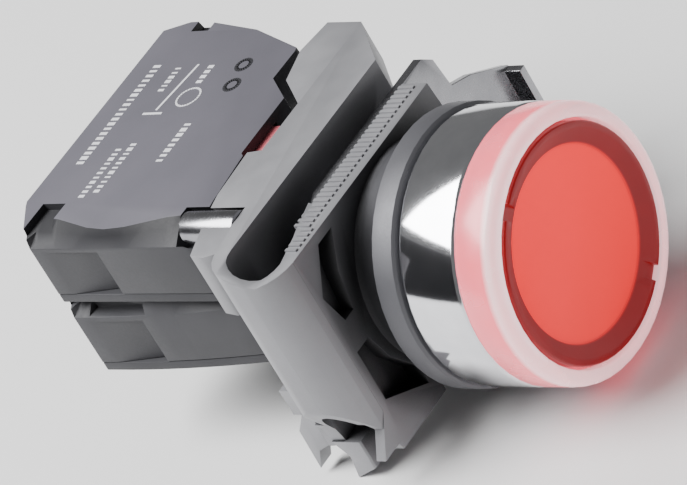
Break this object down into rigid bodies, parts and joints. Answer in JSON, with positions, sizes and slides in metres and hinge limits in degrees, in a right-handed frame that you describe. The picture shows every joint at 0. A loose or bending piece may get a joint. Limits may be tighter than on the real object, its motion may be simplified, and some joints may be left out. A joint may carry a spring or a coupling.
{
  "type": "illuminated push button",
  "caption": "Round illuminated push button with a chrome head, a red lens, a die-cast collar and clip-on contact and lamp blocks for mounting through a panel.",
  "frame": {"origin": "middle of the gasket face that rests on the front of the panel, on the push axis", "axes": "+Y along the push axis, from the lens into the panel; +Z towards the marked side of the contact block; +X towards the thumb end of the locking slide"},
  "size_m": [0.0476, 0.0641, 0.032],
  "materials": {
    "chrome": "bright chrome plate",
    "zinc": "fine satin zinc die casting",
    "plated_steel": "bright zinc plate",
    "clear_plastic": "clear, smooth",
    "red_lens": "translucent, smooth",
    "red_plastic": "moulded",
    "white_plastic": "moulded, slightly translucent",
    "rubber": "matt",
    "grey_plastic": "moulded, fine satin",
    "cover_plastic": "moulded, fine satin",
    "spring_steel": "bright drawn wire",
    "brass": "stamped strip",
    "silver": "silver alloy",
    "board": "solder resist",
    "led": "clear epoxy",
    "resistor": "lacquer"
  },
  "bodies": {
    "housing": {"bezel": "chrome", "panel_gasket": "rubber", "clear_ring": "clear_plastic", "return_spring": "spring_steel", "head_sleeve": "zinc", "collar": "zinc", "contact_block_case": "grey_plastic", "contact_block_cover": "cover_plastic", "bridge_spring": "spring_steel", "fixed_contact_left": "brass", "fixed_contact_right": "brass", "lamp_block_case": "grey_plastic", "lamp_block_cover": "cover_plastic", "circuit_board": "board", "led": "led", "series_resistor": "resistor", "rectifier": "rubber", "lamp_terminal_left": "brass", "lamp_terminal_right": "brass"},
    "button": {"red_lens": "red_lens", "diffuser": "white_plastic", "pusher": "white_plastic", "pusher_bar": "white_plastic", "retaining_ring": "spring_steel"},
    "moving_contact": {"contact_plunger": "red_plastic", "contact_bridge": "silver"},
    "slide": {"locking_slide": "plated_steel"},
    "collar_screw": {"clamp_screw": "plated_steel"},
    "contact_clamp_left": {"contact_saddle_left": "plated_steel"},
    "contact_screw_left": {"contact_terminal_screw_left": "plated_steel"},
    "contact_clamp_right": {"contact_saddle_right": "plated_steel"},
    "contact_screw_right": {"contact_terminal_screw_right": "plated_steel"},
    "lamp_clamp_left": {"lamp_saddle_left": "plated_steel"},
    "lamp_screw_left": {"lamp_terminal_screw_left": "plated_steel"},
    "lamp_clamp_right": {"lamp_saddle_right": "plated_steel"},
    "lamp_screw_right": {"lamp_terminal_screw_right": "plated_steel"}
  },
  "joints": [
    {"name": "press", "type": "slide", "parent": "housing", "child": "button", "axis": [0, 1, 0], "range_m": [0, 0.004], "stiffness_N_per_m": 700, "springref_m": -0.004, "deforming": ["return_spring"]},
    {"name": "contact_travel", "type": "slide", "parent": "housing", "child": "moving_contact", "axis": [0, 1, 0], "range_m": [0, 0.004], "deforming": ["bridge_spring"]},
    {"name": "lock_slide", "type": "slide", "parent": "housing", "child": "slide", "axis": [-1, 0, 0], "range_m": [0, 0.003]},
    {"name": "clamp_screw_turn", "type": "hinge", "parent": "housing", "child": "collar_screw", "pos_m": [-0.0123, 0.02, 0.0137], "axis": [0, 1, 0], "continuous": true},
    {"name": "contact_clamp_left_lift", "type": "slide", "parent": "housing", "child": "contact_clamp_left", "axis": [0, 1, 0], "range_m": [0, 0.0021]},
    {"name": "contact_screw_left_turn", "type": "hinge", "parent": "contact_clamp_left", "child": "contact_screw_left", "pos_m": [-0.008, 0.046, 0.01], "axis": [0, 1, 0], "range_deg": [0, 1080]},
    {"name": "contact_clamp_right_lift", "type": "slide", "parent": "housing", "child": "contact_clamp_right", "axis": [0, 1, 0], "range_m": [0, 0.0021]},
    {"name": "contact_screw_right_turn", "type": "hinge", "parent": "contact_clamp_right", "child": "contact_screw_right", "pos_m": [0.016, 0.046, 0.01], "axis": [0, 1, 0], "range_deg": [0, 1080]},
    {"name": "lamp_clamp_left_lift", "type": "slide", "parent": "housing", "child": "lamp_clamp_left", "axis": [0, 1, 0], "range_m": [0, 0.0021]},
    {"name": "lamp_screw_left_turn", "type": "hinge", "parent": "lamp_clamp_left", "child": "lamp_screw_left", "pos_m": [-0.008, 0.046, 0], "axis": [0, 1, 0], "range_deg": [0, 1080]},
    {"name": "lamp_clamp_right_lift", "type": "slide", "parent": "housing", "child": "lamp_clamp_right", "axis": [0, 1, 0], "range_m": [0, 0.0021]},
    {"name": "lamp_screw_right_turn", "type": "hinge", "parent": "lamp_clamp_right", "child": "lamp_screw_right", "pos_m": [0.016, 0.046, 0], "axis": [0, 1, 0], "range_deg": [0, 1080]}
  ],
  "couplings": [
    {"joint": "contact_travel", "follows": "press", "ratio": 1},
    {"joint": "contact_screw_left_turn", "follows": "contact_clamp_left_lift", "rad_per_m": 8975.9},
    {"joint": "contact_screw_right_turn", "follows": "contact_clamp_right_lift", "rad_per_m": 8975.9},
    {"joint": "lamp_screw_left_turn", "follows": "lamp_clamp_left_lift", "rad_per_m": 8975.9},
    {"joint": "lamp_screw_right_turn", "follows": "lamp_clamp_right_lift", "rad_per_m": 8975.9}
  ]
}
